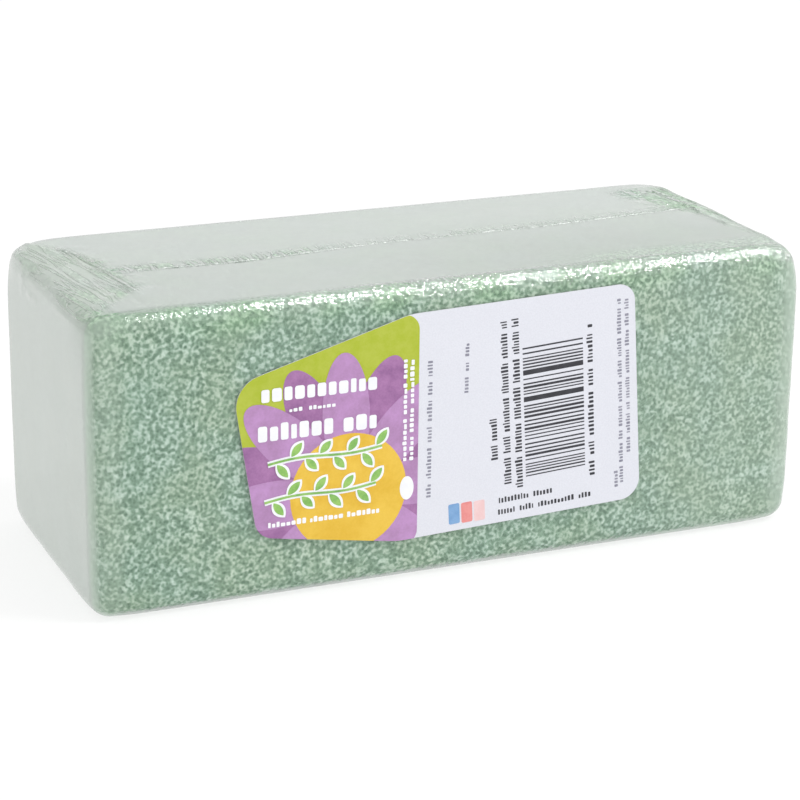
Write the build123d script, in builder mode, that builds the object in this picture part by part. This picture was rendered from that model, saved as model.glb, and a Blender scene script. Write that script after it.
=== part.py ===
from build123d import *
import os

# A dry floral foam brick, sold shrink wrapped with one label on its front.
#
# Frame: millimetres, X along the brick, the front faces -Y, +Z is up.
# The origin is under the middle of the brick, on the surface that it rests on.

# ---- Driving dimensions ----
INCH = 25.4
FOAM_LENGTH = (4 + 7 / 8) * INCH
FOAM_WIDTH = (1 + 15 / 16) * INCH
FOAM_HEIGHT = (1 + 15 / 16) * INCH
FOAM_EDGE_RADIUS = 3.0  # the shrinking film rounds the cut edges of the foam

FILM_THICKNESS = 0.15  # the real film is about 0.02 thick
FILM_GAP = 0.05  # air between the film and the broken cells of the foam

SEAM_WIDTH = 0.7
SEAM_HEIGHT = 0.25
SEAM_BEND_RADIUS = 25.0
SEAM_TOP_FILLET = 0.2

LABEL_THICKNESS = 0.15

# ---- Sizes that follow ----
film_offset = FILM_GAP + FILM_THICKNESS
film_length = FOAM_LENGTH + 2 * film_offset
film_width = FOAM_WIDTH + 2 * film_offset
film_height = FOAM_HEIGHT + 2 * film_offset
film_front = film_width / 2
middle_height = film_height / 2


def rounded_block(distance_in):
    """A block that lies distance_in inside the film's outer surface, with all its edges rounded."""
    length = film_length - 2 * distance_in
    width = film_width - 2 * distance_in
    height = film_height - 2 * distance_in
    with BuildPart() as block:
        with BuildSketch(Plane.XY.offset(distance_in)):
            Rectangle(length, width)
        extrude(amount=height)
        fillet(block.edges(), radius=FOAM_EDGE_RADIUS + film_offset - distance_in)
    return block.part


# ---- Foam block: one piece cut from a slab of dry polystyrene foam ----
with BuildPart() as foam_block:
    add(rounded_block(film_offset))

# ---- Film wrap: one closed skin of clear shrink film round the whole block ----
with BuildPart() as film_wrap:
    add(rounded_block(0))
    add(rounded_block(FILM_THICKNESS), mode=Mode.SUBTRACT)

# ---- Seams: the melted beads where the edges of the film were sealed ----
# One runs along the top and one closes each end. The tail of each sealed end lies on the top,
# so its bead crosses the top a little way in from that end. The film shrank unevenly, so the
# beads wander. Each route is a list of (X, Y) points.
TOP_SEAM_ROUTE = [(-50.2, -1.6), (-30, -2.4), (-6, 0.2), (26, 0.8), (54.8, 3.4)]
LEFT_END_ROUTE = [(-55.6, 16.5), (-52, 5), (-51.3, -4), (-50.6, -11.5)]
RIGHT_END_ROUTE = [(55.2, 17.5), (56.4, 7), (55.6, -2), (56, -10)]


def sealed_bead(route):
    """A low bead of melted film that follows a route across the top of the film."""
    with BuildPart() as bead:
        with BuildSketch(Plane.XY.offset(film_height)):
            with BuildLine():
                FilletPolyline(*route, radius=SEAM_BEND_RADIUS)
            trace(line_width=SEAM_WIDTH)
        extrude(amount=SEAM_HEIGHT)
        fillet(bead.faces().sort_by(Axis.Z)[-1].edges(), radius=SEAM_TOP_FILLET)
    return bead.part


with BuildPart() as top_seam:
    add(sealed_bead(TOP_SEAM_ROUTE))

with BuildPart() as left_end_seam:
    add(sealed_bead(LEFT_END_ROUTE))

with BuildPart() as right_end_seam:
    add(sealed_bead(RIGHT_END_ROUTE))

# ---- Label: one die-cut sticker on the front of the film ----
# Each corner of its outline is (X, height above the middle of the front, corner radius). It goes
# on slightly crooked. The left part, which carries the picture, is cut wider at its top than at
# its foot. The right part carries the plain panel for the bars and the small print.
LABEL_CORNERS = [
    (-39.3, 11.6, 5.0),
    (-9.6, 20.1, 12.0),
    (29.8, 21.3, 3.0),
    (32.5, -16.1, 3.5),
    (-11.5, -17.8, 12.0),
    (-35.4, -13.8, 3.5),
]

with BuildPart() as label:
    with BuildSketch(Plane.XZ.offset(film_front)):
        with BuildLine():
            FilletPolyline(
                *[(x, middle_height + up) for x, up, _ in LABEL_CORNERS],
                radius=[r for _, _, r in LABEL_CORNERS],
                close=True,
            )
        make_face()
    extrude(amount=LABEL_THICKNESS)

# ---- Names and files ----
pieces = {
    "foam_block": foam_block,
    "film_wrap": film_wrap,
    "top_seam": top_seam,
    "left_end_seam": left_end_seam,
    "right_end_seam": right_end_seam,
    "label": label,
}
os.makedirs("parts", exist_ok=True)
for name, piece in pieces.items():
    piece.part.label = name
    export_step(piece.part, f"parts/{name}.step")
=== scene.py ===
import math
import random

import bpy
import numpy as np
from mathutils import Matrix, Vector, noise


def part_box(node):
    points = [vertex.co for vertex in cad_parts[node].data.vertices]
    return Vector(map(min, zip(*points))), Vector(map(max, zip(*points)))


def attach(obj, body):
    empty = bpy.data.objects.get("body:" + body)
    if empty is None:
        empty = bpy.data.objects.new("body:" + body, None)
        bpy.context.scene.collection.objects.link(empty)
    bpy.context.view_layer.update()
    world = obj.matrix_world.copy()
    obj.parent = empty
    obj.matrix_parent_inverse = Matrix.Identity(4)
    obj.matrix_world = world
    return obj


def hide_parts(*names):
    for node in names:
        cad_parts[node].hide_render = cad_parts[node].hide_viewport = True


# A brick of dry floral foam in clear shrink film, with one printed label on its front.
# The CAD frame sets every place: X runs along the brick, its front faces -Y, and +Z is up.

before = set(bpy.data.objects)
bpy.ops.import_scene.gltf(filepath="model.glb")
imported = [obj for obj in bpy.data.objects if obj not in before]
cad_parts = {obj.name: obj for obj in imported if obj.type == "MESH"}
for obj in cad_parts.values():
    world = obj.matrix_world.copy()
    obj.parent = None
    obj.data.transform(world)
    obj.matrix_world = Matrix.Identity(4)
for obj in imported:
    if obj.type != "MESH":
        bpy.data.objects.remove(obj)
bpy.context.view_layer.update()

MM = 0.001
BODY = "root"

FILM_LOW, FILM_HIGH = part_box("film_wrap")
FOAM_LOW, FOAM_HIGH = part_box("foam_block")
LABEL_LOW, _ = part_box("label")
BRICK_MIDDLE = (FILM_LOW + FILM_HIGH) / 2

EDGE_RADIUS = 3.2 * MM  # of the film's outside, as in the CAD model
FOAM_RADIUS = 3.0 * MM
CORNER_CRUSH = 1.4 * MM  # how far the pull of the film crushes each upper corner of the brick
LOWER_SHARE = 0.4  # of that at the lower corners, which the film leaves sharper
CORNER_REACH = 5.0 * MM
EDGE_CRUSH = 1.0 * MM  # the same along the top edge of the right end
EDGE_REACH = 3.5 * MM
FOLD_LIMIT = 0.3 * MM  # the most that folds which cross can stand up together


# ---- Node materials ----


class Shader:
    """A new material with helpers that add its nodes."""

    def __init__(self, name):
        self.material = bpy.data.materials.new(name)
        self.material.use_nodes = True
        self.tree = self.material.node_tree
        self.tree.nodes.clear()

    def node(self, kind, inputs=None, **settings):
        """Adds a node, sets its properties, and links or sets its inputs by name or number."""
        made = self.tree.nodes.new(kind)
        for key, value in settings.items():
            setattr(made, key, value)
        for key, value in (inputs or {}).items():
            if isinstance(value, bpy.types.NodeSocket):
                self.tree.links.new(value, made.inputs[key])
            else:
                made.inputs[key].default_value = value
        return made

    def math(self, operation, a, b=0.0, clamp=False):
        return self.node("ShaderNodeMath", {0: a, 1: b}, operation=operation, use_clamp=clamp).outputs[0]

    def ramp(self, value, low, high, to_low=0.0, to_high=1.0, smooth=True):
        """A value taken from the range low..high to the range to_low..to_high."""
        style = "SMOOTHSTEP" if smooth else "LINEAR"
        inputs = {"Value": value, "From Min": low, "From Max": high, "To Min": to_low, "To Max": to_high}
        return self.node("ShaderNodeMapRange", inputs, interpolation_type=style).outputs["Result"]

    def blend(self, share, a, b, style="MIX"):
        """Two colours mixed."""
        mixed = self.node("ShaderNodeMix", {0: share, 6: a, 7: b}, data_type="RGBA", blend_type=style)
        return mixed.outputs[2]

    def place(self):
        return self.node("ShaderNodeTexCoord").outputs["Object"]

    def noise(self, size, detail=2.0, roughness=0.5, place=None):
        """Noise whose blotches are about size metres across."""
        inputs = {"Scale": 1 / size, "Detail": detail, "Roughness": roughness}
        inputs["Vector"] = place or self.place()
        return self.node("ShaderNodeTexNoise", inputs).outputs["Fac"]

    def streaks(self, across, along, angle, place):
        """Noise drawn out along Y, turned by angle about Z: across and along are its sizes in metres."""
        turn = {"Vector": place, "Angle": -angle}
        turned_place = self.node("ShaderNodeVectorRotate", turn, rotation_type="Z_AXIS").outputs[0]
        stretch = {0: turned_place, 1: (1 / across, 1 / along, 1 / across)}
        stretched = self.node("ShaderNodeVectorMath", stretch, operation="MULTIPLY").outputs[0]
        return self.noise(1.0, 0.6, 0.5, stretched)

    def attribute(self, name):
        return self.node("ShaderNodeAttribute", attribute_name=name).outputs["Fac"]

    def cells(self, size, place):
        """Cells about size metres across: how far off the middle of each, and a random share for each."""
        made = self.node("ShaderNodeTexVoronoi", {"Scale": 1 / size, "Vector": place}).outputs
        share = self.node("ShaderNodeSeparateColor", {0: made["Color"]}).outputs[0]
        return made["Distance"], share

    def colours(self, value, stops):
        """Colours that run through stops, a list of (place from 0 to 1, colour)."""
        made = self.node("ShaderNodeValToRGB", {"Fac": value})
        ramp = made.color_ramp.elements
        while len(ramp) < len(stops):
            ramp.new(0.5)
        for element, (position, colour) in zip(ramp, stops):
            element.position = position
            element.color = colour
        return made.outputs["Color"]

    def bump(self, height, distance, strength=1.0):
        inputs = {"Height": height, "Distance": distance, "Strength": strength}
        return self.node("ShaderNodeBump", inputs).outputs["Normal"]

    def finish(self, surface):
        self.node("ShaderNodeOutputMaterial", {"Surface": surface})
        return self.material


CELL = 0.65 * MM  # the usual width of one cell of the foam
MIDDLE_TONE = 0.43
FOAM_TONES_AND_PAINTED_SHADE = [  # from the painted shade on the floor of a pit to the painted highlight on the pale rim of a broken cell
    (0.0, (0.098, 0.190, 0.121, 1)),
    (0.45, (0.240, 0.364, 0.264, 1)),
    (1.0, (0.61, 0.73, 0.63, 1)),
]


def foam_material():
    """Sage green polystyrene foam whose tone varies at random, with painted shade in the pits of its broken
    cells and painted highlights on their pale walls.
    """
    s = Shader("sage_foam")
    place = s.place()
    lumps = s.noise(CELL, 0.0, 0.5, place)
    beyond = s.node("ShaderNodeVectorMath", {0: place, 1: (0.3, 0.1, 0.2)}).outputs[0]
    off_wall = s.math("ABSOLUTE", s.math("SUBTRACT", s.noise(1.2 * CELL, 0.0, 0.5, beyond), 0.5))
    off_pit, each = s.cells(CELL, place)
    patch = s.noise(3 * MM, 2.0, 0.6, place)
    # tone: pale walls and rims are painted highlights and the dark middles of the pits are painted shade,
    # over tone that varies at random
    tone = s.math("ADD", s.ramp(off_wall, 0.0, 0.12, 0.10, 0.0), s.ramp(off_pit, 0.1, 0.6, 0.0, 0.28))
    tone = s.math("ADD", tone, s.math("MULTIPLY", each, 0.16))
    tone = s.math("ADD", tone, s.ramp(lumps, 0.33, 0.67, -0.16, 0.36, smooth=False))
    tone = s.math("ADD", tone, s.ramp(patch, 0.3, 0.7, -0.05, 0.05, smooth=False))
    contrast = s.ramp(s.noise(6 * MM, 1.0, 0.5, place), 0.35, 0.65, 0.85, 1.14)
    off_middle = s.math("MULTIPLY", s.math("SUBTRACT", tone, MIDDLE_TONE), contrast)
    tone = s.math("ADD", MIDDLE_TONE, off_middle, clamp=True)
    warmth = s.ramp(s.noise(12 * MM, 2.0), 0.35, 0.65)
    tint = s.blend(warmth, (1.015, 1.0, 0.96, 1), (0.965, 0.995, 1.025, 1))
    tint = s.blend(s.attribute("crushed"), tint, (0.90, 1.03, 0.84, 1))
    surface = s.node(
        "ShaderNodeBsdfPrincipled",
        {
            "Base Color": s.blend(1.0, s.colours(tone, FOAM_TONES_AND_PAINTED_SHADE), tint, "MULTIPLY"),
            "Roughness": s.ramp(lumps, 0.3, 0.7, 0.78, 0.92),
            "Normal": s.bump(tone, 0.14 * MM, 0.8),
            "Specular IOR Level": 0.3,
        },
    )
    return s.finish(surface.outputs[0])


def film_material():
    """Clear shrink film. It is milky edge on, where it stands off the foam, and along its top front edge,
    where the milk is a painted highlight; it mirrors by its angle.

    What differs from place to place comes from the numbers that make_film gives to its points.
    """
    s = Shader("shrink_film")
    place = s.place()
    gather, tent, loose_and_highlight = s.attribute("gather"), s.attribute("tent"), s.attribute("loose_and_highlight")
    contact = s.noise(0.8 * MM, 1.5, 0.5, place)
    grit = s.noise(0.6 * MM, 1.0, 0.5, place)
    flow = s.noise(7 * MM, 3.0, 0.55, place)
    # Each kind of wrinkle: its share, its pattern, its relief, which part of the pattern touches the
    # foam, and how clear the film is there.
    wrinkles = [
        (gather, s.streaks(0.8 * MM, 15 * MM, 0.13, place), 1.9, (0.44, 0.62), 0.44),
        (s.attribute("pucker"), s.streaks(0.8 * MM, 6 * MM, 0.06, place), 2.8, (0.44, 0.62), 0.60),
        (s.attribute("crumple"), s.streaks(1.1 * MM, 5 * MM, 0.35, place), 2.4, (0.38, 0.56), 0.80),
    ]
    height = s.math("MULTIPLY", contact, s.attribute("press"))
    height = s.math("ADD", height, s.math("MULTIPLY", flow, 0.5))
    height = s.math("ADD", height, s.math("MULTIPLY", grit, s.attribute("spark")))
    touching = s.math("MULTIPLY", s.attribute("pressed"), s.ramp(contact, 0.3, 0.6, 0.15, 0.5))
    for share, streaks, relief, (low, high), clearness in wrinkles:
        off_fold = s.math("ABSOLUTE", s.math("SUBTRACT", streaks, 0.5))
        fold = s.math("ADD", s.ramp(off_fold, 0.0, 0.07), s.math("MULTIPLY", streaks, -1.2))
        height = s.math("SUBTRACT", height, s.math("MULTIPLY", fold, s.math("MULTIPLY", share, relief)))
        closer = s.math("MULTIPLY", share, s.ramp(streaks, low, high, 0.0, clearness))
        touching = s.math("ADD", touching, closer)
    normal = s.bump(height, 0.11 * MM)
    facing = s.node("ShaderNodeLayerWeight", {"Blend": 0.5, "Normal": normal}).outputs["Facing"]
    milk = s.ramp(facing, 0.26, 0.62, 0.02, 0.80)
    milk = s.math("MAXIMUM", milk, s.math("MULTIPLY", s.math("MAXIMUM", tent, loose_and_highlight), 0.85))
    milk = s.math("MULTIPLY", milk, s.math("SUBTRACT", 1.0, touching, clamp=True))
    milk = s.math("MULTIPLY", milk, s.ramp(flow, 0.3, 0.7, 0.97, 1.03, smooth=False), clamp=True)
    clear = s.node("ShaderNodeBsdfTransparent", {"Color": (0.985, 0.99, 0.985, 1)}).outputs[0]
    tone = s.blend(tent, (0.420, 0.447, 0.432, 1), (0.450, 0.488, 0.455, 1))
    # Where loose is, the haze is greener; along the top front edge this milk is a painted highlight
    tone = s.blend(s.ramp(loose_and_highlight, 0.0, 0.3), tone, (0.430, 0.520, 0.440, 1))
    # Painted shade: the haze on the top is darker towards the front right, where shade is
    tone = s.blend(s.attribute("shade"), tone, (0.325, 0.357, 0.335, 1))
    haze = s.node(
        "ShaderNodeBsdfPrincipled",
        {
            "Base Color": s.blend(gather, tone, (0.365, 0.410, 0.365, 1)),
            "Roughness": 0.6,
            "Specular IOR Level": 0.2,
            "Normal": normal,
        },
    ).outputs[0]
    # Painted shade on the gloss: it is darker along the left part of the top front edge, so that edge
    # hardly glitters
    mirrored = s.blend(s.attribute("painted_gloss_shade"), (1, 1, 1, 1), (0.30, 0.32, 0.30, 1))
    gloss = s.node(
        "ShaderNodeBsdfAnisotropic", {"Color": mirrored, "Roughness": 0.14, "Normal": normal}
    ).outputs[0]
    body = s.node("ShaderNodeMixShader", {0: milk, 1: clear, 2: haze}).outputs[0]
    mirror = s.node("ShaderNodeFresnel", {"IOR": 1.5, "Normal": normal}).outputs[0]
    surface = s.node("ShaderNodeMixShader", {0: mirror, 1: body, 2: gloss}).outputs[0]
    path = s.node("ShaderNodeLightPath").outputs
    lit = s.math("MAXIMUM", path["Is Shadow Ray"], path["Is Diffuse Ray"])
    passing = s.node("ShaderNodeBsdfTransparent", {"Color": (0.95, 0.96, 0.95, 1)}).outputs[0]
    surface = s.node("ShaderNodeMixShader", {0: lit, 1: surface, 2: passing}).outputs[0]
    return s.finish(surface)


def seam_material():
    """Film that melted and set again: a milky, softly glossy bead."""
    s = Shader("melted_seam")
    drops = s.noise(0.8 * MM, 2.0)
    solid = s.ramp(drops, 0.35, 0.65)
    surface = s.node(
        "ShaderNodeBsdfPrincipled",
        {
            "Base Color": s.blend(solid, (0.42, 0.47, 0.43, 1), (0.56, 0.60, 0.57, 1)),
            "Roughness": s.ramp(drops, 0.3, 0.7, 0.28, 0.5),
            "Alpha": s.ramp(drops, 0.35, 0.65, 0.2, 0.85),
            "Normal": s.bump(drops, 0.08 * MM),
        },
    )
    return s.finish(surface.outputs[0])


def paper_material():
    """White satin sticker paper."""
    s = Shader("label_paper")
    fibre = s.noise(0.25 * MM, 3.0, 0.6)
    wave = s.noise(11 * MM, 1.0)
    surface = s.node(
        "ShaderNodeBsdfPrincipled",
        {
            "Base Color": s.blend(s.ramp(fibre, 0.3, 0.7), (0.68, 0.69, 0.75, 1), (0.73, 0.74, 0.80, 1)),
            "Roughness": s.ramp(fibre, 0.3, 0.7, 0.38, 0.5),
            "Normal": s.bump(s.math("ADD", wave, s.math("MULTIPLY", fibre, 0.02)), 0.3 * MM),
        },
    )
    return s.finish(surface.outputs[0])


def ink_material(name, dark, light, grain=2.2 * MM):
    """Printed ink, which varies a little between two tones."""
    s = Shader(name)
    mottle = s.noise(grain, 3.0, 0.6)
    speck = s.noise(0.3 * MM, 1.0)
    share = s.math("ADD", s.ramp(mottle, 0.3, 0.7, 0.0, 0.8), s.ramp(speck, 0.35, 0.65, 0.0, 0.2))
    surface = s.node(
        "ShaderNodeBsdfPrincipled",
        {
            "Base Color": s.blend(share, (*dark, 1), (*light, 1)),
            "Roughness": s.ramp(speck, 0.3, 0.7, 0.3, 0.42),
        },
    )
    return s.finish(surface.outputs[0])


# ---- Meshes ----


def add_mesh(name, points, faces, material, smooth=True):
    """A mesh object whose points are places in the CAD frame, in metres."""
    mesh = bpy.data.meshes.new(name)
    mesh.from_pydata([tuple(p) for p in points], [], faces)
    mesh.polygons.foreach_set("use_smooth", [smooth] * len(mesh.polygons))
    mesh.materials.append(material)
    mesh.update()
    piece = bpy.data.objects.new(name, mesh)
    bpy.context.scene.collection.objects.link(piece)
    return piece


def lattice_lines(low, high, zones, coarse):
    """Places from low to high. Each zone is (start, end, step), and the rest is coarse apart."""
    lines = [low]
    for start, end, step in [*zones, (high, high, coarse)]:
        for reach, apart in ((start, coarse), (end, step)):
            count = round((reach - lines[-1]) / apart)
            if count > 0:
                lines += np.linspace(lines[-1], reach, count + 1)[1:].tolist()
    return np.array(lines)


def rounded_skin(low, high, radius, lines):
    """Points, outward normals and quads of a block with rounded edges, on a lattice of lines."""
    sizes = [len(part) for part in lines]
    spots = np.stack(np.meshgrid(*lines, indexing="ij"), axis=-1)
    outer = np.zeros(sizes, bool)
    for axis in range(3):
        for side in (0, -1):
            np.moveaxis(outer, axis, 0)[side] = True
    number = np.full(sizes, -1)
    number[outer] = np.arange(outer.sum())
    cube = spots[outer]
    inner = np.clip(cube, np.array(low) + radius, np.array(high) - radius)
    away = cube - inner
    normals = away / np.linalg.norm(away, axis=1, keepdims=True)
    quads = []
    for axis in range(3):
        for side in (0, -1):
            sheet = np.moveaxis(number, axis, 0)[side]
            square = np.stack([sheet[:-1, :-1], sheet[1:, :-1], sheet[1:, 1:], sheet[:-1, 1:]], axis=-1)
            square = square.reshape(-1, 4)
            outward = (side == -1) != (axis == 1)
            quads.append(square if outward else square[:, ::-1])
    return inner + radius * normals, normals, np.concatenate(quads).tolist()


def smooth_step(value, low, high):
    share = np.clip((value - low) / (high - low), 0, 1)
    return share * share * (3 - 2 * share)


def crushed(points, low, high):
    """The points of a block after the film has crushed its corners, and the top edge of its right end."""
    half = (np.array(high) - np.array(low)) / 2
    from_middle = points - (np.array(high) + np.array(low)) / 2
    inset = half - np.abs(from_middle)
    crush = CORNER_CRUSH * np.exp(-(inset**2).sum(axis=1) / CORNER_REACH**2)
    crush *= np.where(from_middle[:, 2] > 0, 1.0, LOWER_SHARE)
    moved = points - np.sign(from_middle) * crush[:, None] / math.sqrt(3)
    along = 1 - smooth_step(np.abs(from_middle[:, 1]), half[1] - 6 * MM, half[1])
    edge = EDGE_CRUSH * np.exp(-(inset[:, [0, 2]] ** 2).sum(axis=1) / EDGE_REACH**2) * along
    edge *= (from_middle[:, 0] > 0) & (from_middle[:, 2] > 0)
    return moved - edge[:, None] * np.array([1, 0, 1]) / math.sqrt(2)


def set_attribute(piece, name, values):
    """A number for each point of a piece, which its material can read."""
    attribute = piece.data.attributes.new(name, "FLOAT", "POINT")
    attribute.data.foreach_set("value", values.astype(np.float32))


def noise_at(points, size, seed=0.0):
    """Smooth noise between about -1 and 1 at each point, with blotches about size metres across."""
    shift = Vector((seed, 2 * seed, -seed))
    return np.array([noise.noise(Vector(p) / size + shift) for p in points])


# ---- Foam ----


def make_foam():
    """The block, with its cut faces pitted by broken cells."""
    lines = []
    for low, high in zip(FOAM_LOW, FOAM_HIGH):
        zones = [(low, low + 3.4 * MM, 0.45 * MM), (high - 3.4 * MM, high, 0.45 * MM)]
        lines.append(lattice_lines(low, high, zones, 0.56 * MM))
    points, normals, quads = rounded_skin(FOAM_LOW, FOAM_HIGH, FOAM_RADIUS, lines)
    pits = np.array([noise.voronoi(Vector(p) / CELL)[0][0] for p in points])
    waves = noise_at(points, 14 * MM, 3.0)
    inward = 0.16 * MM * (1 - smooth_step(pits, 0.1, 0.7)) + 0.06 * MM * (1 + waves)
    pitted = crushed(points, FOAM_LOW, FOAM_HIGH) - normals * inward[:, None]
    foam = add_mesh("foam", pitted, quads, foam_material())
    below_top = FOAM_HIGH.z - points[:, 2]
    patchy = smooth_step(noise_at(points, 8 * MM, 5.0), -0.35, 0.45)
    set_attribute(foam, "crushed", patchy * (1 - smooth_step(below_top, 1.5 * MM, 6.5 * MM)))
    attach(foam, BODY)
    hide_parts("foam_block")


# ---- Film ----
# The sealed beads lie where part.py puts them. Their routes are points of (X, Y) in millimetres.

TOP_SEAM_ROUTE = [(-50.2, -1.6), (-30, -2.4), (-6, 0.2), (26, 0.8), (54.8, 3.4)]
LEFT_END_ROUTE = [(-55.6, 16.5), (-52, 5), (-51.3, -4), (-50.6, -11.5)]
RIGHT_END_ROUTE = [(55.2, 17.5), (56.4, 7), (55.6, -2), (56, -10)]
SIDE = 24.8 * MM  # from the middle of the brick to its front and to its back


def tail_reach(route, y):
    """How far in from its end of the brick a sealed tail lies, at each Y. It runs out to both corners."""
    ordered = sorted((across * MM, FILM_HIGH.x - abs(along) * MM) for along, across in route)
    places = [-SIDE, *(across for across, _ in ordered), SIDE]
    reaches = [0.8 * MM, *(way_in for _, way_in in ordered), 0.8 * MM]
    return np.interp(y, places, reaches)


class Ridges:
    """Thin raised folds in the film, each from one place to another on a flat map of it."""

    def __init__(self):
        self.folds = []

    def add(self, start, end, width, height):
        self.folds.append((np.array(start), np.array(end), width, height))

    def rise(self, across, along):
        """How high the folds stand at each place of the map."""
        place = np.stack([across, along], axis=1)
        total = np.zeros(len(place))
        for start, end, width, height in self.folds:
            run = end - start
            share = np.clip((place - start) @ run / (run @ run), 0, 1)
            gap = np.linalg.norm(place - start - share[:, None] * run, axis=1)
            fade = np.sin(np.pi * np.clip(share * 0.92 + 0.04, 0, 1)) ** 0.5
            total += height * fade * np.exp(-((gap / width) ** 2))
        return total


def end_ridges(route, chance, in_count, in_band, in_run):
    """The folds at one end of the brick, on a map of (way in from the end, Y).

    in_count of them run inwards from the sealed tail, from places in in_band, and are in_run long.
    """
    folds = Ridges()
    for _ in range(24):
        y = chance.uniform(-18, 18) * MM
        run = chance.uniform(5, 17) * MM
        way_in = chance.uniform(-3.2 * MM, float(tail_reach(route, y)))
        lean = chance.uniform(-0.02, 0.12) * run
        start, end = (way_in - lean / 2, y + run / 2), (way_in + lean / 2, y - run / 2)
        folds.add(start, end, chance.uniform(0.38, 0.7) * MM, chance.uniform(-0.16, 0.24) * MM)
    for _ in range(in_count):
        y = chance.uniform(*in_band) * MM
        reach = float(tail_reach(route, y))
        run = chance.uniform(*in_run) * MM
        start, end = (reach - 0.4 * MM, y), (reach + run, y + chance.uniform(-0.35, 0.2) * run)
        folds.add(start, end, chance.uniform(0.36, 0.55) * MM, chance.uniform(-0.14, 0.24) * MM)
    for _ in range(7):
        y = chance.uniform(2, 14) * MM
        run = chance.uniform(1.5, 3.5) * MM
        way_in = -chance.uniform(2.6, 6.5) * MM
        start, end = (way_in, y + run / 2), (way_in + 0.08 * run, y - run / 2)
        folds.add(start, end, chance.uniform(0.36, 0.5) * MM, chance.uniform(0.1, 0.26) * MM)
    for side in (-1, 1):
        for _ in range(5):
            y = side * chance.uniform(9, 16) * MM
            start = (float(tail_reach(route, y)) * chance.uniform(0.5, 1.0), y)
            end = (chance.uniform(1.2, 3.0) * MM, side * chance.uniform(20, 22.5) * MM)
            folds.add(start, end, chance.uniform(0.4, 0.7) * MM, chance.uniform(0.06, 0.16) * MM)
    return folds


def seam_ridges(chance):
    """Small puckers that the shrinking film makes along its top seam, on a map of (X, Y)."""
    folds = Ridges()
    route = np.array(TOP_SEAM_ROUTE) * MM
    for _ in range(64):
        x = chance.uniform(-49, 46) * MM
        if x > -18 * MM and chance.random() < 0.7:
            continue
        y = float(np.interp(x, route[:, 0], route[:, 1])) - chance.uniform(0, 0.8) * MM
        run = chance.uniform(1.4, 3.6) * MM
        end = (x + chance.uniform(0.4, 0.75) * run, y + run)
        folds.add((x, y), end, chance.uniform(0.32, 0.45) * MM, chance.uniform(0.12, 0.24) * MM)
    return folds


def film_lines():
    """The lattice of the film, which is finer where the film folds."""
    left, front, bottom = FILM_LOW
    right, back, top = FILM_HIGH
    left_end = (left, left + 14 * MM, 0.40 * MM)
    left_part = (left + 14 * MM, -16 * MM, 0.46 * MM)
    right_end = (right - 11 * MM, right, 0.40 * MM)
    front_edge = (front, front + 4 * MM, 0.40 * MM)
    seam = (-5 * MM, 7 * MM, 0.38 * MM)
    back_edge = (back - 4 * MM, back, 0.40 * MM)
    bottom_edge = (bottom, bottom + 4 * MM, 0.45 * MM)
    top_edge = (top - 6 * MM, top, 0.42 * MM)
    return [
        lattice_lines(left, right, [left_end, left_part, right_end], 0.66 * MM),
        lattice_lines(front, back, [front_edge, seam, back_edge], 0.80 * MM),
        lattice_lines(bottom, top, [bottom_edge, top_edge], 1.1 * MM),
    ]


class Skin:
    """The smooth surface that the film starts from: where each of its points is and which way it faces."""

    def __init__(self):
        self.points, self.normals, self.quads = rounded_skin(FILM_LOW, FILM_HIGH, EDGE_RADIUS, film_lines())
        self.x, self.y, z = self.points.T
        self.sideways = np.abs(self.normals[:, 0])
        self.frontward = -self.normals[:, 1]
        self.upward = self.normals[:, 2]
        self.up = smooth_step(self.upward, 0.0, 0.5)
        self.edge = 1 - np.max(np.abs(self.normals), axis=1)
        self.front_top = smooth_step(self.frontward, 0.05, 0.3) * smooth_step(self.upward, 0.05, 0.3)
        self.in_from_left = self.x - FILM_LOW.x
        self.in_from_right = FILM_HIGH.x - self.x
        self.in_from_front = self.y - FILM_LOW.y
        self.below_top = FILM_HIGH.z - z
        # Laid flat, an end face carries on past the edge of the top, so it lies less than 0 in.
        self.flat_from_left = self.in_from_left - self.below_top
        self.flat_from_right = self.in_from_right - self.below_top

    def noise(self, size, seed):
        return noise_at(self.points, size, seed)


def film_rise(skin):
    """How far the film stands out: its folds, and its slack along the edges of the brick."""
    left = end_ridges(LEFT_END_ROUTE, random.Random(11), 18, (-11, 18), (1.0, 4.5))
    right = end_ridges(RIGHT_END_ROUTE, random.Random(23), 26, (1, 19), (2.5, 9.0))
    folds = left.rise(skin.flat_from_left, skin.y) + right.rise(skin.flat_from_right, skin.y)
    folds *= smooth_step(1 - np.abs(skin.frontward), 0.2, 0.7) * smooth_step(skin.upward, -0.6, -0.2)
    folds += seam_ridges(random.Random(5)).rise(skin.x, skin.y) * skin.up
    slack = smooth_step(skin.edge, 0.02, 0.2) * (0.5 + 0.5 * skin.noise(6 * MM, 7.0))
    waves = skin.noise(12 * MM, 1.0) * (1 - smooth_step(skin.frontward, 0.6, 0.95))
    not_under = smooth_step(skin.upward, -0.9, -0.3)
    return FOLD_LIMIT * np.tanh(folds / FOLD_LIMIT) + (0.2 * MM * slack + 0.05 * MM * waves) * not_under


def mark_gathers(film, skin):
    """Where the film is drawn into streaks: in both sealed tails, and most of all at the left bead."""
    gather = np.zeros(len(skin.points))
    for way_in, route in ((skin.flat_from_left, LEFT_END_ROUTE), (skin.flat_from_right, RIGHT_END_ROUTE)):
        in_tail = smooth_step(tail_reach(route, skin.y) - way_in, -1.6 * MM, 1.4 * MM)
        gather = np.maximum(gather, in_tail * smooth_step(way_in, -5 * MM, 1.5 * MM) * skin.up)
    gather *= (0.75 + 0.5 * skin.noise(5 * MM, 9.0)) * smooth_step(skin.in_from_front, 0.5 * MM, 6 * MM)
    off_bead = skin.flat_from_left - tail_reach(LEFT_END_ROUTE, skin.y)
    at_bead = np.exp(-((off_bead / (1.6 * MM)) ** 2)) * skin.up
    at_bead *= smooth_step(17 * MM - np.abs(skin.y), 0, 5 * MM)
    set_attribute(film, "gather", np.clip(gather, 0, 1) + 0.5 * at_bead)
    return gather


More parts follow.
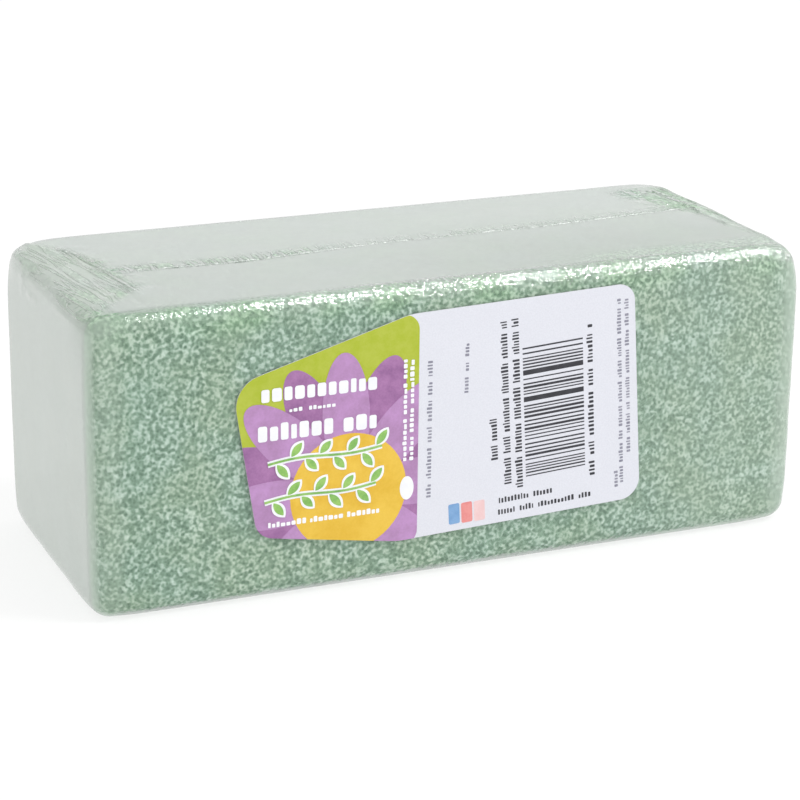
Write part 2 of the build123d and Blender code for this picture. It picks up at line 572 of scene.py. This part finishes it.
def mark_gloss(film, skin, gather):
    """How uneven the gloss is: press is the foam's grain that comes through, spark is the glittering
    of the top front edge, and dull is the left part of that edge, whose gloss is painted darker, a painted
    shade, so it hardly glitters."""
    press = 0.25 + 0.75 * smooth_step(skin.frontward, 0.2, 0.8) + 0.9 * smooth_step(skin.edge, 0.01, 0.12)
    press *= 1 - 0.85 * smooth_step(skin.upward, 0.85, 0.99) * (1 - 0.4 * gather)
    press *= 1 - 0.85 * smooth_step(skin.sideways, 0.85, 0.99)
    spark = skin.front_top * (1 + 0.5 * skin.noise(5 * MM, 4.0))
    spark *= 1.2 + 2.8 * smooth_step(skin.x, -40 * MM, -10 * MM)
    set_attribute(film, "press", press)
    set_attribute(film, "spark", spark)
    set_attribute(film, "painted_gloss_shade", skin.front_top * (1 - smooth_step(skin.x, -48 * MM, -24 * MM)))


def mark_haze(film, skin):
    """Where the film is milky: tent is on the ends, which it bridges, and loose is on the front, where the
    film stands off near the ends and on the right, and along its top edge and top left corner, where it is
    a painted highlight. On the top, pressed is where it touches the foam near that edge, and shade is
    painted shade, darker towards the front right."""
    tent = smooth_step(skin.sideways, 0.4, 0.9) * (1 - 0.15 * smooth_step(skin.upward, 0.3, 0.7))
    top_edge = smooth_step(skin.sideways, 0.1, 0.5) * smooth_step(skin.upward, 0.2, 0.5)
    set_attribute(film, "tent", np.maximum(tent, 0.55 * top_edge))

    top_left = 1 - smooth_step(skin.in_from_left, 3 * MM, 9 * MM)
    top_left *= 1 - smooth_step(skin.below_top, 1 * MM, 6 * MM)
    loose_and_highlight = 0.24 * smooth_step(skin.x, 14 * MM, 50 * MM)
    loose_and_highlight += 0.55 * (1 - smooth_step(skin.in_from_right, 1.5 * MM, 6.0 * MM))
    loose_and_highlight += 0.26 * (1 - smooth_step(skin.in_from_left, 2.5 * MM, 7.0 * MM))
    # A painted highlight: milk at the top left corner and along the top front edge
    loose_and_highlight += 0.20 * top_left + 0.22 * skin.front_top
    loose_and_highlight *= (1 + 0.35 * skin.noise(4 * MM, 6.0)) * smooth_step(skin.frontward, 0.1, 0.5)
    set_attribute(film, "loose_and_highlight", np.clip(loose_and_highlight, 0, 1))

    near_front = 1 - smooth_step(skin.in_from_front, 4.0 * MM, 9.0 * MM)
    set_attribute(film, "pressed", skin.up * near_front * smooth_step(skin.x, 5 * MM, 42 * MM))
    # shade: painted shade, a darker haze on the top towards the front and the right
    toward_front = 1 - smooth_step(skin.in_from_front, 8 * MM, 38 * MM)
    toward_right = 0.35 + 0.65 * smooth_step(skin.x, -30 * MM, 30 * MM)
    set_attribute(film, "shade", skin.up * toward_front * toward_right)


def mark_wrinkles(film, skin):
    """Where the fine wrinkles are: pucker is along the top seam, crumple is at the back right corner."""
    route = np.array(TOP_SEAM_ROUTE) * MM
    behind = skin.y - np.interp(skin.x, route[:, 0], route[:, 1])
    pucker = smooth_step(behind, -1.2 * MM, 0.1 * MM) * (1 - smooth_step(behind, 0.8 * MM, 4.5 * MM))
    pucker *= 1 - 0.75 * smooth_step(skin.x, -24 * MM, -8 * MM)
    pucker *= smooth_step(skin.in_from_left, 10 * MM, 14 * MM)
    pucker *= smooth_step(skin.in_from_right, 8 * MM, 12 * MM)
    set_attribute(film, "pucker", pucker * skin.up)

    past_bead = skin.flat_from_right - tail_reach(RIGHT_END_ROUTE, skin.y)
    depth = np.interp(skin.y, np.array([-12, 12]) * MM, np.array([-3, 9]) * MM)
    crumple = smooth_step(past_bead, -6 * MM, -3 * MM)
    crumple *= 1 - smooth_step(past_bead, depth - 4 * MM, depth + 1 * MM)
    crumple *= smooth_step(skin.y, -9 * MM, 1 * MM) * (1 - smooth_step(skin.y, 16 * MM, 20 * MM))
    crumple *= np.clip(0.8 + 0.5 * skin.noise(4 * MM, 2.0), 0, 1)
    set_attribute(film, "crumple", crumple * skin.up)


def make_film():
    """The closed skin of shrink film, with its gathers at both ends and puckers at its seams."""
    skin = Skin()
    folded = crushed(skin.points, FILM_LOW, FILM_HIGH) + skin.normals * film_rise(skin)[:, None]
    film = add_mesh("film", folded, skin.quads, film_material())
    gather = mark_gathers(film, skin)
    mark_gloss(film, skin, gather)
    mark_haze(film, skin)
    mark_wrinkles(film, skin)
    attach(film, BODY)
    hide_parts("film_wrap")


make_foam()
make_film()


# ---- Seams ----


def make_bead(name, node_name, route, material, seed):
    """A bead of melted film that follows its route across the top. Its width and height vary."""
    path = np.array(route) * MM
    lengths = np.concatenate([[0], np.cumsum(np.linalg.norm(np.diff(path, axis=0), axis=1))])
    count = round(lengths[-1] / (0.25 * MM))
    along = np.linspace(0, lengths[-1], count + 1)
    line = np.stack([np.interp(along, lengths, path[:, k]) for k in (0, 1)], axis=1)
    for _ in range(60):  # each pass rounds the bends of the route a little more
        line[1:-1] = (line[:-2] + 2 * line[1:-1] + line[2:]) / 4
    run = np.gradient(line, axis=0)
    run /= np.linalg.norm(run, axis=1, keepdims=True)
    sideways = np.stack([-run[:, 1], run[:, 0]], axis=1)
    spots = np.column_stack([line, np.zeros(count + 1)])
    wander = noise_at(spots, 3 * MM, seed)
    lumps = noise_at(spots, 1.1 * MM, seed + 4)
    taper = np.clip(np.minimum(along, lengths[-1] - along) / (1.5 * MM), 0.15, 1)
    half_wide = (0.24 + 0.10 * lumps) * MM * taper
    tall = (0.15 + 0.10 * lumps + 0.04 * wander) * MM * taper
    tall *= np.clip(0.9 + 1.5 * noise_at(spots, 7 * MM, seed + 9), 0.25, 1.1)
    line = line + sideways * (0.14 * MM * wander)[:, None]
    rim = 8  # points round each half ring of the bead
    points, faces = [], []
    for k in range(count + 1):
        for j in range(rim):
            turn = math.pi * j / (rim - 1)
            across = line[k] + sideways[k] * half_wide[k] * math.cos(turn)
            points.append((across[0], across[1], FILM_HIGH.z - 0.04 * MM + tall[k] * math.sin(turn)))
    for k in range(count):
        first = k * rim
        for j in range(rim):
            after = (j + 1) % rim
            faces.append((first + j, first + after, first + rim + after, first + rim + j))
    faces.append(tuple(reversed(range(rim))))
    faces.append(tuple(range(count * rim, (count + 1) * rim)))
    bead = add_mesh(name, points, faces, material)
    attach(bead, BODY)
    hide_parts(node_name)


melted = seam_material()
make_bead("top_bead", "top_seam", TOP_SEAM_ROUTE, melted, 2.0)
make_bead("left_end_bead", "left_end_seam", LEFT_END_ROUTE, melted, 5.0)
make_bead("right_end_bead", "right_end_seam", RIGHT_END_ROUTE, melted, 8.0)


# ---- Label ----
# The CAD label is the paper. Its print is thin layers of ink on its face, one over another. The
# print is a generic one: a daisy, two leafy twigs, blocks in place of words, bars that encode nothing
# and colour patches. Nothing in it is a letter, a number or a mark.

INK_LAYER = 0.02 * MM
PANEL_RIGHT = -8.1  # millimetres, as are all places on the label below
PANEL_CORNER = 2.6
FLOWER_CENTRE = (-20.0, 16.6)
PETAL_COUNT = 16
PETAL_REACH = 23.3
PETAL_HALF_LENGTH = 10.3
PETAL_HALF_WIDTH = 4.0
FIRST_PETAL = 2.0  # degrees
DISC_RADIUS = 9.9
PRINT_TILT = math.radians(3.4)  # the print on the white panel sits slightly crooked
PANEL_MIDDLE = (14.0, 26.0)


def turned(points, angle, about):
    """Points turned about a centre."""
    c, s = math.cos(angle), math.sin(angle)
    arms = [(x - about[0], z - about[1]) for x, z in points]
    return [(about[0] + c * x - s * z, about[1] + s * x + c * z) for x, z in arms]


def ellipse(centre, half_x, half_z, angle=0.0, count=48):
    rim = [2 * math.pi * k / count for k in range(count)]
    points = [(centre[0] + half_x * math.cos(t), centre[1] + half_z * math.sin(t)) for t in rim]
    return turned(points, angle, centre)


def rounded_box(x0, z0, x1, z1, radius, count=8):
    """A rectangle with round corners, from its lower left to its upper right corner."""
    points = []
    for cx, cz, first in ((x1, z1, 0), (x0, z1, 1), (x0, z0, 2), (x1, z0, 3)):
        mid_x = cx - math.copysign(radius, cx - (x0 + x1) / 2)
        mid_z = cz - math.copysign(radius, cz - (z0 + z1) / 2)
        for k in range(count + 1):
            t = (first + k / count) * math.pi / 2
            points.append((mid_x + radius * math.cos(t), mid_z + radius * math.sin(t)))
    return points


def leaf(foot, length, width, angle, count=14):
    """A pointed leaf that grows from its foot."""
    shares = [k / count for k in range(count + 1)]
    upper = [(foot[0] + length * t, foot[1] + width / 2 * math.sin(math.pi * t) ** 0.8) for t in shares]
    lower = [(px, 2 * foot[1] - pz) for px, pz in reversed(upper[1:-1])]
    return turned(upper + lower, angle, foot)


def clipped(points, fence):
    """The part of an outline that lies inside a convex, anticlockwise fence."""
    kept = list(points)
    for (ax, az), (bx, bz) in zip(fence, fence[1:] + fence[:1]):
        def side(p, ax=ax, az=az, bx=bx, bz=bz):
            return (bx - ax) * (p[1] - az) - (bz - az) * (p[0] - ax)
        source, kept = kept, []
        for p, q in zip(source, source[1:] + source[:1]):
            sp, sq = side(p), side(q)
            if sp >= 0:
                kept.append(p)
            if sp * sq < 0:
                t = sp / (sp - sq)
                kept.append((p[0] + t * (q[0] - p[0]), p[1] + t * (q[1] - p[1])))
        if not kept:
            break
    return kept


def label_outline():
    """The outline of the label's face, anticlockwise as seen from the front."""
    face = [v.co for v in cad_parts["label"].data.vertices if v.co.y < LABEL_LOW.y + 0.01 * MM]
    places = sorted({(round(p.x / MM, 3), round(p.z / MM, 3)) for p in face})
    middle_x = sum(x for x, _ in places) / len(places)
    middle_z = sum(z for _, z in places) / len(places)
    return sorted(places, key=lambda p: math.atan2(p[1] - middle_z, p[0] - middle_x))


def print_layer(name, outlines, level, ink):
    """Flat shapes of ink on the label's face, level layers out from the paper."""
    back = LABEL_LOW.y - level * INK_LAYER
    points, faces = [], []
    for outline in outlines:
        if len(outline) < 3:
            continue
        first, count = len(points), len(outline)
        points += [(x * MM, back - INK_LAYER, z * MM) for x, z in outline]
        points += [(x * MM, back, z * MM) for x, z in outline]
        faces.append([first + k for k in range(count)])
        faces.append([first + count + k for k in reversed(range(count))])
        for k in range(count):
            after = (k + 1) % count
            faces.append([first + k, first + count + k, first + count + after, first + after])
    piece = add_mesh(name, points, faces, ink, smooth=False)
    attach(piece, BODY)


def word_blocks(x0, x1, z, height, chance, block=(0.45, 0.9), gap=0.22, word=(3, 7), space=0.9, low=0.62):
    """A row of small round-cornered blocks that stands for words, from x0 to x1, centred on z."""
    outlines = []
    x = x0
    while x < x1 - block[0]:
        for _ in range(chance.randint(*word)):
            wide = chance.uniform(*block)
            if x + wide > x1:
                break
            foot = z - height / 2
            tall = height * chance.uniform(low, 1.0)
            outlines.append(rounded_box(x, foot, x + wide, foot + tall, min(wide, tall) * 0.25, 4))
            x += wide + gap
        x += space
    return outlines


def column_blocks(x, z0, z1, width, chance, **settings):
    """The same as a column that reads upwards, from z0 to z1, centred on x."""
    row = word_blocks(z0, z1, 0.0, width, chance, **settings)
    return [[(x - across, z) for z, across in outline] for outline in row]


def ribbon(line, width):
    """A band of one width along a line of points."""
    upper, lower = [], []
    for k, (x, z) in enumerate(line):
        (ax, az), (bx, bz) = line[max(k - 1, 0)], line[min(k + 1, len(line) - 1)]
        length = math.hypot(bx - ax, bz - az)
        side_x, side_z = -(bz - az) / length * width / 2, (bx - ax) / length * width / 2
        upper.append((x + side_x, z + side_z))
        lower.append((x - side_x, z - side_z))
    return lower + upper[::-1]


def sprig(start, end, count, chance):
    """A leafy twig: its rims and leaves, one by one to either side, and the line of the twig itself."""
    rims, leaves, twig = [], [], []
    for k in range(count * 4 + 1):
        share = k / (count * 4)
        wave = 0.35 * math.sin(2 * math.pi * share)
        x, z = (a + share * (b - a) for a, b in zip(start, end))
        twig.append((x, z + wave))
    for k in range(count):
        x, z = twig[4 * k + 2]
        side = 1 if k % 2 else -1
        angle = side * math.radians(chance.uniform(44, 54))
        length = chance.uniform(2.5, 3.0)
        rim_foot = (x + 0.2 * math.cos(angle), z + 0.2 * math.sin(angle))
        foot = (x + 0.5 * math.cos(angle), z + 0.5 * math.sin(angle))
        rims.append(leaf(rim_foot, length + 0.75, 2.1, angle))
        leaves.append(leaf(foot, length, 1.25, angle))
    return rims, leaves, twig


def make_picture(fence):
    """The coloured left part: lime ground, daisy, sprigs and blocks for words."""
    chance = random.Random(3)
    low_x, low_z = (min(values) - 1 for values in zip(*fence))
    panel = clipped(rounded_box(low_x, low_z, PANEL_RIGHT, 44.9, PANEL_CORNER), fence)
    lime = ink_material("lime_ink", (0.385, 0.465, 0.012), (0.445, 0.510, 0.045))
    mauve = ink_material("mauve_ink", (0.255, 0.100, 0.265), (0.395, 0.178, 0.390), 3.5 * MM)
    lilac = ink_material("lilac_ink", (0.385, 0.205, 0.395), (0.510, 0.275, 0.550), 3.5 * MM)
    orange = ink_material("orange_ink", (0.72, 0.435, 0.02), (0.81, 0.53, 0.055), 4.5 * MM)
    green = ink_material("leaf_ink", (0.16, 0.40, 0.08), (0.34, 0.58, 0.14))
    white = ink_material("white_ink", (0.84, 0.85, 0.88), (0.90, 0.91, 0.93))
    print_layer("print_ground", [panel], 0, lime)

    middle = PETAL_REACH - PETAL_HALF_LENGTH
    petals = []
    for k in range(PETAL_COUNT):
        angle = math.radians(FIRST_PETAL + k * 360 / PETAL_COUNT)
        x, z = FLOWER_CENTRE
        centre = (x + middle * math.cos(angle), z + middle * math.sin(angle))
        petals.append(clipped(ellipse(centre, PETAL_HALF_LENGTH, PETAL_HALF_WIDTH, angle), panel))
    print_layer("print_petals_back", petals[1::2], 1, mauve)
    print_layer("print_petals_front", petals[0::2], 2, lilac)
    disc = ellipse(FLOWER_CENTRE, DISC_RADIUS, DISC_RADIUS)
    print_layer("print_disc", [clipped(disc, panel)], 3, orange)

    title = {"block": (0.8, 1.7), "gap": 0.42, "word": (20, 20), "low": 0.9}
    subtitle = {"block": (0.9, 2.0), "gap": 0.45, "word": (7, 7), "space": 1.3, "low": 0.75}
    bottom_row = {"block": (0.4, 0.8), "gap": 0.2, "word": (5, 9), "space": 0.5}
    words = word_blocks(-34.6, -14.6, 34.4, 2.3, chance, **title)
    words += word_blocks(-30.0, -21.5, 31.6, 0.7, chance, block=(0.4, 0.7), gap=0.2)
    words += word_blocks(-35.2, -14.2, 28.3, 2.9, chance, **subtitle)
    words += word_blocks(-33.6, -14.2, 12.9, 0.95, chance, **bottom_row)
    words += column_blocks(-10.5, 20.6, 38.4, 0.75, chance, word=(4, 8), space=0.6)
    words += column_blocks(-9.3, 20.6, 38.0, 0.75, chance, word=(4, 8), space=0.6)
    upper_rims, upper_leaves, upper_twig = sprig((-33.6, 23.0), (-14.4, 23.8), 8, chance)
    lower_rims, lower_leaves, lower_twig = sprig((-34.2, 16.7), (-15.4, 17.7), 8, chance)
    print_layer("print_words", [*words, ellipse((-10.0, 16.0), 1.2, 2.0)], 4, white)
    print_layer("print_twig_rims", [ribbon(upper_twig, 1.0), ribbon(lower_twig, 1.0)], 5, white)
    print_layer("print_leaf_rims", upper_rims + lower_rims, 6, white)
    print_layer("print_leaves", upper_leaves + lower_leaves, 7, green)
    print_layer("print_twigs", [ribbon(upper_twig, 0.36), ribbon(lower_twig, 0.36)], 8, green)


def make_small_print():
    """The white right part: bars, blocks for words, and colour patches."""
    chance = random.Random(8)
    black = ink_material("black_ink", (0.012, 0.012, 0.018), (0.035, 0.035, 0.045))
    grey = ink_material("grey_ink", (0.20, 0.20, 0.26), (0.32, 0.32, 0.38))

    bars = []
    z = 15.2
    while z < 37.6:
        thick = chance.choice((0.2, 0.2, 0.2, 0.26, 0.26, 0.4, 0.85))
        bars.append([(10.6, z), (21.4, z), (21.4, z + thick), (10.6, z + thick)])
        z += thick + chance.choice((0.28, 0.28, 0.34, 0.42, 0.6))
    ticks = {"block": (0.2, 0.42), "gap": 0.24, "word": (5, 11), "space": 0.7}
    for x, z0, z1 in ((7.3, 14.6, 42.6), (9.35, 13.6, 43.2), (5.0, 19.2, 26.4)):
        bars += column_blocks(x, z0, z1, 1.35, chance, **ticks)
    beside_bars = {"block": (0.22, 0.5), "gap": 0.3, "word": (2, 11), "space": 0.9}
    bars += column_blocks(22.6, 13.2, 39.6, 1.1, chance, **beside_bars)
    bars += word_blocks(5.6, 16.4, 12.0, 1.0, chance, **ticks)
    bars += word_blocks(5.4, 22.6, 10.0, 1.0, chance, **ticks)
    bars = [turned(outline, PRINT_TILT, PANEL_MIDDLE) for outline in bars]
    print_layer("print_bars", bars, 0, black)

    fine = []
    for x, z0, z1 in ((28.0, 10.8, 43.2), (29.4, 16.0, 43.2), (27.0, 10.2, 13.4)):
        fine += column_blocks(x, z0, z1, 0.8, chance, block=(0.2, 0.45), gap=0.2, word=(3, 8), space=0.6)
    fine = [turned(outline, PRINT_TILT, PANEL_MIDDLE) for outline in fine]
    beside_picture = {"block": (0.2, 0.45), "gap": 0.25, "word": (4, 9), "space": 0.8}
    fine += column_blocks(-6.2, 13.8, 37.2, 0.9, chance, **beside_picture)
    fine += column_blocks(0.2, 30.8, 39.2, 0.7, chance, block=(0.2, 0.45), gap=0.2)
    print_layer("print_small", fine, 0, grey)

    tones = {
        "blue": ((0.14, 0.30, 0.56), (0.22, 0.40, 0.66)),
        "rose": ((0.72, 0.20, 0.20), (0.80, 0.30, 0.28)),
        "blush": ((0.80, 0.52, 0.52), (0.84, 0.62, 0.62)),
    }
    for k, (tone, shades) in enumerate(tones.items()):
        x = -2.4 + 2.25 * k
        patch = turned(rounded_box(x, 8.5, x + 1.95, 12.0, 0.3), PRINT_TILT, (x, 8.5))
        print_layer(f"print_patch_{tone}", [patch], 0, ink_material(f"{tone}_ink", *shades))


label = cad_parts["label"]
label.data.materials.clear()
label.data.materials.append(paper_material())
make_picture(label_outline())
make_small_print()


# ---- Stage: floor, light and camera ----

CAMERA_AZIMUTH = math.radians(-23.2)
CAMERA_ELEVATION = math.radians(18.68)
CAMERA_ROLL = math.radians(0.73)
CAMERA_DISTANCE = 423.2 * MM
CAMERA_RIGHT, CAMERA_UP = -0.61 * MM, -2.93 * MM  # how far it is slid across its own view
CAMERA_LENS = 112.6  # millimetres, on a sensor 36 wide


def make_floor():
    """A pale, softly lit table: its own glow keeps the shadow of the brick faint."""
    s = Shader("pale_floor")
    faint = s.noise(0.3, 2.0)
    surface = s.node(
        "ShaderNodeBsdfPrincipled",
        {
            "Base Color": s.blend(s.ramp(faint, 0.3, 0.7), (0.21, 0.21, 0.21, 1), (0.23, 0.23, 0.23, 1)),
            "Roughness": 0.9,
            "Specular IOR Level": 0.0,
            "Emission Color": (1.0, 1.0, 1.0, 1),
            "Emission Strength": 0.78,
        },
    )
    half = 4.0
    corners = [(-half, -half, 0), (half, -half, 0), (half, half, 0), (-half, half, 0)]
    floor = add_mesh("floor", corners, [(0, 1, 2, 3)], s.finish(surface.outputs[0]))


def add_softbox(name, direction, distance, size, power, only_gloss=False):
    """A soft light that looks at the brick. size is its width and height."""
    data = bpy.data.lights.new(name, "AREA")
    data.shape = "RECTANGLE"
    data.size, data.size_y = size
    data.energy = power
    lamp = bpy.data.objects.new(name, data)
    lamp.visible_diffuse = not only_gloss
    towards = Vector(direction).normalized()
    lamp.location = BRICK_MIDDLE + distance * towards
    lamp.rotation_euler = towards.to_track_quat("Z", "Y").to_euler()
    bpy.context.scene.collection.objects.link(lamp)


def make_sky(strength):
    world = bpy.data.worlds.new("studio")
    world.use_nodes = True
    background = world.node_tree.nodes["Background"]
    background.inputs["Color"].default_value = (1.0, 1.0, 1.0, 1)
    background.inputs["Strength"].default_value = strength
    bpy.context.scene.world = world


def make_camera():
    """The view of the brick: its front from the left and a little above."""
    level = math.cos(CAMERA_ELEVATION)
    level_back = Vector((math.sin(CAMERA_AZIMUTH), -math.cos(CAMERA_AZIMUTH), 0))
    back = level * level_back + Vector((0, 0, math.sin(CAMERA_ELEVATION)))
    level_right = Vector((math.cos(CAMERA_AZIMUTH), math.sin(CAMERA_AZIMUTH), 0))
    level_up = back.cross(level_right)
    right = math.cos(CAMERA_ROLL) * level_right + math.sin(CAMERA_ROLL) * level_up
    up = math.cos(CAMERA_ROLL) * level_up - math.sin(CAMERA_ROLL) * level_right
    data = bpy.data.cameras.new("camera")
    data.sensor_width = 36.0
    data.lens = CAMERA_LENS
    data.clip_start = 0.01
    camera = bpy.data.objects.new("camera", data)
    spot = BRICK_MIDDLE + CAMERA_DISTANCE * back + CAMERA_RIGHT * right + CAMERA_UP * up
    turn = Matrix((right, up, back)).transposed().to_4x4()
    camera.matrix_world = Matrix.Translation(spot) @ turn
    bpy.context.scene.collection.objects.link(camera)
    bpy.context.scene.camera = camera


make_floor()
make_sky(strength=1.0)
add_softbox("key", direction=(0.43, -0.32, 0.84), distance=0.8, size=(0.16, 0.16), power=2.2)
add_softbox(
    "gloss_panel",
    direction=(0.52, -0.30, 0.80),
    distance=0.8,
    size=(0.36, 0.44),
    power=32.0,
    only_gloss=True,
)
make_camera()
bpy.context.scene.view_settings.view_transform = "Standard"
